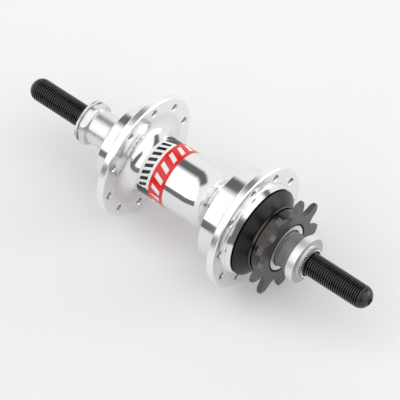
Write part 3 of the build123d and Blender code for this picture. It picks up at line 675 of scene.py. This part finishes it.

# Right locknut: round, steel, nickel plated and tumbled to a satin. A raised ring round the thread bites on
# the frame: its outer corner is cut into fine teeth, whose roots are painted black as painted shade, and so
# is the mouth round the thread. The step beside the ring is coloured a darker grey.
RIGHT_NUT_R = 9.9 * MM
BITE_RING_R = 7.05 * MM
BITE_RING_HEIGHT = 1.95 * MM
NUT_MOUTH_R = 5.7 * MM
RIGHT_TEETH = 44
TOOTH_DEPTH = 0.4 * MM
TOOTH_LENGTH = 0.95 * MM
ring_foot = NUT_FACE - BITE_RING_HEIGHT
right_bite = TOOTH_DEPTH * teeth(RIGHT_TEETH)
right_nut_rows = [
    (RIGHT_SEAT, IN_NUT_R),  # the inner end and its chamfer
    (RIGHT_SEAT, RIGHT_NUT_R - 0.22 * MM),
    (RIGHT_SEAT + 0.22 * MM, RIGHT_NUT_R),
    (ring_foot - 0.14 * MM, RIGHT_NUT_R),  # the outer corner and the step
    (ring_foot - 0.02 * MM, RIGHT_NUT_R - 0.06 * MM),
    (ring_foot - 0.02 * MM, RIGHT_NUT_R - 0.3 * MM),
    (ring_foot + 0.02 * MM, RIGHT_NUT_R - 0.6 * MM),
    (ring_foot, BITE_RING_R + 0.12 * MM),
    (ring_foot + 0.12 * MM, BITE_RING_R),  # the raised ring and its teeth
    (NUT_FACE - TOOTH_LENGTH, BITE_RING_R),
    (NUT_FACE - TOOTH_LENGTH + 0.05 * MM, BITE_RING_R - right_bite),
    (NUT_FACE - 0.12 * MM, BITE_RING_R - 0.05 * MM - right_bite),
    (NUT_FACE, BITE_RING_R - TOOTH_DEPTH - 0.15 * MM),  # the rim that bears on the frame
    (NUT_FACE, NUT_MOUTH_R + 0.08 * MM),
    (NUT_FACE - 0.08 * MM, NUT_MOUTH_R),  # the mouth
    (NUT_FACE - 0.8 * MM, CREST_R + 0.05 * MM),
    (NUT_FACE - 1.0 * MM, IN_NUT_R),
    (RIGHT_SEAT, IN_NUT_R),
]
right_nut = turned("serrated_right_locknut", right_nut_rows, NUT_COLUMNS, NUT_SHARP_ANGLE)

ROOT_SHADE_LEVEL = -0.4  # of a cosine that is 1 in a root and -1 on a crest; painted shade lies where it is higher
TUMBLE_PATCH = 2.0 * MM
# the step beside the ring is coloured a darker grey than the nickel
STEP_COLOUR = 0xBCBBBA
ROOT_SHADE_COLOUR = 0x070707
NICKEL_COLOUR = 0xF0F0F1
satin_nickel = new_material("satin_nickel_plate", NICKEL_COLOUR, 1.0, 0.35)
tree = satin_nickel.node_tree
place = add_node(tree, "ShaderNodeTexCoord").outputs["Object"]
parts = add_node(tree, "ShaderNodeSeparateXYZ", {0: place}).outputs
radius = axle_radius(tree, place)
turn = add_node(tree, "ShaderNodeMath", {0: parts["Z"], 1: parts["X"]}, operation="ARCTAN2").outputs[0]
tooth_turn = add_node(tree, "ShaderNodeMath", {0: turn, 1: RIGHT_TEETH}, operation="MULTIPLY").outputs[0]
wave = add_node(tree, "ShaderNodeMath", {0: tooth_turn}, operation="COSINE").outputs[0]
in_root = add_node(tree, "ShaderNodeMath", {0: wave, 1: ROOT_SHADE_LEVEL}, operation="GREATER_THAN").outputs[0]
station = add_node(tree, "ShaderNodeMath", {0: parts["Y"], 1: -1.0}, operation="MULTIPLY").outputs[0]
in_teeth = add_node(
    tree, "ShaderNodeMath", {0: station, 1: NUT_FACE - TOOTH_LENGTH + 0.02 * MM}, operation="GREATER_THAN"
).outputs[0]
off_rim = add_node(
    tree, "ShaderNodeMath", {0: radius, 1: BITE_RING_R - 0.25 * MM - TOOTH_DEPTH}, operation="GREATER_THAN"
).outputs[0]
in_mouth = add_node(tree, "ShaderNodeMath", {0: radius, 1: NUT_MOUTH_R}, operation="LESS_THAN").outputs[0]
# Tooth roots and the mouth round the thread are painted black: painted shade
root_and_mouth_shade = add_node(tree, "ShaderNodeMath", {0: in_teeth, 1: off_rim}, operation="MULTIPLY").outputs[0]
root_and_mouth_shade = add_node(tree, "ShaderNodeMath", {0: root_and_mouth_shade, 1: in_root}, operation="MULTIPLY").outputs[0]
root_and_mouth_shade = add_node(tree, "ShaderNodeMath", {0: root_and_mouth_shade, 1: in_mouth}, operation="MAXIMUM").outputs[0]
past_body = add_node(
    tree, "ShaderNodeMath", {0: station, 1: ring_foot - 0.05 * MM}, operation="GREATER_THAN"
).outputs[0]
off_ring = add_node(
    tree, "ShaderNodeMath", {0: radius, 1: BITE_RING_R + 0.05 * MM}, operation="GREATER_THAN"
).outputs[0]
on_step = add_node(tree, "ShaderNodeMath", {0: past_body, 1: off_ring}, operation="MULTIPLY").outputs[0]
skin = add_node(
    tree, "ShaderNodeMix", {0: on_step, 6: linear(NICKEL_COLOUR), 7: linear(STEP_COLOUR)}, data_type="RGBA"
).outputs[2]
skin = add_node(
    tree, "ShaderNodeMix", {0: root_and_mouth_shade, 6: skin, 7: linear(ROOT_SHADE_COLOUR)}, data_type="RGBA"
).outputs[2]
tree.links.new(skin, tree.nodes["Principled BSDF"].inputs["Base Color"])
mottle(satin_nickel, TUMBLE_PATCH, 0.36, 0.46)
right_nut.data.materials.append(satin_nickel)
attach(right_nut, "axle")
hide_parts("right_locknut")


# Left spacer and the sleeves inside: turned tubes that slip over the axle and hold the inner races apart. The
# spacer is bright steel and the sleeves are aluminium alloy, both with the lathe's fine rings left on.
def lathe_marks(material, low, high):
    """Roughness that wavers between low and high in fine rings about the axle's line."""
    tree = material.node_tree
    place = add_node(tree, "ShaderNodeTexCoord").outputs["Object"]
    along = add_node(tree, "ShaderNodeSeparateXYZ", {0: place}).outputs["Y"]
    rings = lathe_rings(tree, along, axle_radius(tree, place))
    wavered = add_node(
        tree,
        "ShaderNodeMapRange",
        {"Value": rings, "From Min": NOISE_LOW, "From Max": NOISE_HIGH, "To Min": low, "To Max": high},
    ).outputs[0]
    tree.links.new(wavered, tree.nodes["Principled BSDF"].inputs["Roughness"])


turned_steel = new_material("turned_bright_steel", 0xE8E8E9, 1.0, 0.31)
lathe_marks(turned_steel, 0.25, 0.37)
dress(turned_steel, "left_spacer")
turned_aluminium = new_material("turned_aluminium", 0xDCDDDE, 1.0, 0.3)
lathe_marks(turned_aluminium, 0.24, 0.36)
dress(turned_aluminium, "centre_sleeve", "clutch_washer", "driver_sleeve")

# Right spacer: a steel tube with one fine groove, pressed by the locknut against the cog's bearing. Its blued
# skin is dark and nearly dull, and streaked a little. The foot beside the bearing is painted darker still, as
# painted shade.
SPACER_FOOT = 46.6 * MM
FOOT_EDGE = 0.5 * MM
STREAK_SIZE = MM / 0.38  # 2.6 mm
blued_steel = new_material("blued_steel", 0x7E7C7A, 0.35, 0.42)
tree = blued_steel.node_tree
place = add_node(tree, "ShaderNodeTexCoord").outputs["Object"]
along = add_node(tree, "ShaderNodeSeparateXYZ", {0: place}).outputs["Y"]
foot_shade = add_node(
    tree,
    "ShaderNodeMapRange",
    {"Value": along, "From Min": -SPACER_FOOT - FOOT_EDGE, "From Max": -SPACER_FOOT},
).outputs[0]
streak = add_node(
    tree, "ShaderNodeTexNoise", {"Vector": place, "Scale": 1 / STREAK_SIZE, "Detail": 5.0}
).outputs["Fac"]
tint = add_node(
    tree, "ShaderNodeMix", {0: streak, 6: linear(0x807E7C), 7: linear(0x999795)}, data_type="RGBA"
).outputs[2]
# The foot beside the bearing is painted darker: painted shade
tint = add_node(
    tree, "ShaderNodeMix", {0: foot_shade, 6: tint, 7: linear(0x7A7876)}, data_type="RGBA"
).outputs[2]
tree.links.new(tint, tree.nodes["Principled BSDF"].inputs["Base Color"])
dress(blued_steel, "right_spacer")

# Driver with its cog: one piece of hardened steel, phosphated to a dark, blotched satin. The neck behind the
# cog is smooth and oily, and it is painted darker than the cog's faces, as painted shade.
NECK_BEGINS = 37.5 * MM
NECK_ENDS = 43.3 * MM
BLOTCH_SIZE = MM / 0.42  # 2.4 mm
COG_FINISH = 0.38
NECK_FINISH = 0.24
phosphate = new_material("worn_phosphated_steel", 0x84817F, 1.0, 0.36)
tree = phosphate.node_tree
place = add_node(tree, "ShaderNodeTexCoord").outputs["Object"]
along = add_node(tree, "ShaderNodeSeparateXYZ", {0: place}).outputs["Y"]
past_collar = add_node(tree, "ShaderNodeMath", {0: along, 1: -NECK_BEGINS}, operation="LESS_THAN").outputs[0]
before_cog = add_node(tree, "ShaderNodeMath", {0: along, 1: -NECK_ENDS}, operation="GREATER_THAN").outputs[0]
on_neck = add_node(tree, "ShaderNodeMath", {0: past_collar, 1: before_cog}, operation="MULTIPLY").outputs[0]
blotch = add_node(
    tree,
    "ShaderNodeTexNoise",
    {"Vector": place, "Scale": 1 / BLOTCH_SIZE, "Detail": 6.0, "Roughness": 0.65},
).outputs["Fac"]
worn = add_node(
    tree, "ShaderNodeMix", {0: blotch, 6: linear(0x605E5C), 7: linear(0x747270)}, data_type="RGBA"
).outputs[2]
# The neck is painted darker than the cog: painted shade behind the cog
neck_shade = add_node(
    tree, "ShaderNodeMix", {0: blotch, 6: linear(0x2E2C2B), 7: linear(0x5C5957)}, data_type="RGBA"
).outputs[2]
skin = add_node(tree, "ShaderNodeMix", {0: on_neck, 6: worn, 7: neck_shade}, data_type="RGBA").outputs[2]
sheen = add_node(
    tree, "ShaderNodeMapRange", {"Value": on_neck, "To Min": COG_FINISH, "To Max": NECK_FINISH}
).outputs[0]
shader = tree.nodes["Principled BSDF"]
tree.links.new(skin, shader.inputs["Base Color"])
tree.links.new(sheen, shader.inputs["Roughness"])
dress(phosphate, "driver")

# Dust cap: a cone turned from aluminium alloy, pressed on the driver over the clutch. It is anodised to a
# deep satin black, in which the lathe's rings just show.
black_anodised = new_material("black_anodised", 0x0F0F10, 0.0, 0.36, specular=0.32)
lathe_marks(black_anodised, 0.3, 0.42)
dress(black_anodised, "dust_cap")

# Clutch: the ratchet ring, pressed into the shell, and three pawls, all of hardened steel, ground grey and
# greased. Under each pawl is a leaf spring bent from bright steel strip.
hardened = new_material("hardened_steel", 0x8E8A84, 1.0, 0.3)
mottle(hardened, 2.5 * MM, 0.24, 0.36)
dress(hardened, "ratchet_ring", "pawl_1", "pawl_2", "pawl_3")
spring_strip = new_material("spring_strip", 0xB8BAC0, 1.0, 0.22)
mottle(spring_strip, 1.5 * MM, 0.18, 0.26)
dress(spring_strip, "pawl_spring_1", "pawl_spring_2", "pawl_spring_3")

# Ball bearings: races of chrome steel, ground to a fine satin, mirror-bright balls, cages moulded in cream
# nylon, and dull black rubber seals on both sides. The seals beside the cog are painted a light grey, as
# painted light that lifts them out of the shade in the cog's bore.
race_steel = new_material("ground_bearing_steel", 0xEDEDEE, 1.0, 0.5)
lathe_marks(race_steel, 0.42, 0.58)
ball_steel = new_material("polished_balls", 0xE8E8EA, 1.0, 0.05)
mottle(ball_steel, 2.0 * MM, 0.04, 0.06)
seal_rubber = new_material("black_nitrile", 0x18181A, 0.0, 0.5)
mottle(seal_rubber, 1.2 * MM, 0.44, 0.56)
# The seals beside the cog are painted a light grey: painted light against the shade in the bore
seal_painted_light = new_material("nitrile_painted_light", 0x7C7976, 0.0, 0.55)
lathe_marks(seal_painted_light, 0.5, 0.62)
nylon = new_material("cream_nylon", 0xD8D0BC, 0.0, 0.45)
mottle(nylon, 1.5 * MM, 0.4, 0.5)
for bearing_name in ("left_bearing", "right_bearing", "carrier_bearing", "cog_bearing"):
    dress(race_steel, f"{bearing_name}_inner_race", f"{bearing_name}_outer_race")
    dress(ball_steel, f"{bearing_name}_balls")
    dress(seal_rubber, f"{bearing_name}_shields")
    dress(nylon, f"{bearing_name}_cage")
dress(seal_painted_light, "cog_bearing_shields")

# Cog bearing's outer race: chrome steel, pressed into the cog's bore. Its ground face shows bright just under
# the cog's face and reaches in over the seal, and its inside is the ball groove.
COG_FACE = -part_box("driver")[0].y
race_low, race_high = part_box("cog_bearing_outer_race")
RACE_R = race_high.x
race_in = -race_high.y
race_out = -race_low.y
RACE_COLUMNS = 145
RACE_SHARP_ANGLE = 30.0
RACE_CHAMFER = 0.2 * MM
RACE_LAND_R = 8.94 * MM
SEAL_SEAT_R = 9.42 * MM
SEAL_SEAT = 0.65 * MM
RING_GAP = 0.82 * MM
RACE_FACE_IN_R = 8.2 * MM
RACE_FACE_CHAMFER = 0.1 * MM
race_face_at = COG_FACE - 0.12 * MM
race_shoulder = race_out - 0.15 * MM
over_seal = race_out - 0.05 * MM
GROOVE_R = 1.62 * MM
BALL_CIRCLE_R = 8.0 * MM
groove_middle = (race_in + race_out) / 2
groove_turns = np.radians(np.linspace(40, 140, 9))
race_rows = [
    (race_in, RACE_R - RACE_CHAMFER),
    (race_in + RACE_CHAMFER, RACE_R),
    (race_shoulder, RACE_R),
    (race_shoulder, RACE_R - RING_GAP),
    (race_face_at - RACE_FACE_CHAMFER, RACE_R - RING_GAP),
    (race_face_at, RACE_R - RING_GAP - RACE_FACE_CHAMFER),
    (race_face_at, RACE_FACE_IN_R),
    (over_seal, RACE_FACE_IN_R),
    (over_seal, SEAL_SEAT_R),
    (race_out - SEAL_SEAT, SEAL_SEAT_R),
    (race_out - SEAL_SEAT, RACE_LAND_R),
    *zip(groove_middle + GROOVE_R * np.cos(groove_turns), BALL_CIRCLE_R + GROOVE_R * np.sin(groove_turns)),
    (race_in + SEAL_SEAT, RACE_LAND_R),
    (race_in + SEAL_SEAT, SEAL_SEAT_R),
    (race_in, SEAL_SEAT_R),
    (race_in, RACE_R - RACE_CHAMFER),
]
race_face = turned("cog_bearing_race_face", race_rows, RACE_COLUMNS, RACE_SHARP_ANGLE)
race_face.data.materials.append(race_steel)
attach(race_face, "driver")
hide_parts("cog_bearing_outer_race")

# Cog bearing's gap shade: a dull black ring in the cog's bore, round the race's face. It is painted shade,
# which draws the shaded gap as a black line between the bright face and the cog.
GAP_SHADE_IN_R = RACE_R - RING_GAP + 0.05 * MM
GAP_SHADE_OUT_R = RACE_R - 0.02 * MM
gap_shade_ring_in = race_out - 0.1 * MM
gap_shade_ring_out = COG_FACE - 0.02 * MM
gap_shade_ring_rows = [
    (gap_shade_ring_in, GAP_SHADE_IN_R),
    (gap_shade_ring_in, GAP_SHADE_OUT_R),
    (gap_shade_ring_out, GAP_SHADE_OUT_R),
    (gap_shade_ring_out, GAP_SHADE_IN_R),
    (gap_shade_ring_in, GAP_SHADE_IN_R),
]
# A dull black ring in the gap, standing in for the shade there: painted shade
gap_shade_ring = turned("cog_bore_gap_shade", gap_shade_ring_rows, RACE_COLUMNS, RACE_SHARP_ANGLE)
shade_black = new_material("painted_shade_black", 0x060606, 0.0, 0.6, specular=0.15)
gap_shade_ring.data.materials.append(shade_black)
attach(gap_shade_ring, "driver")
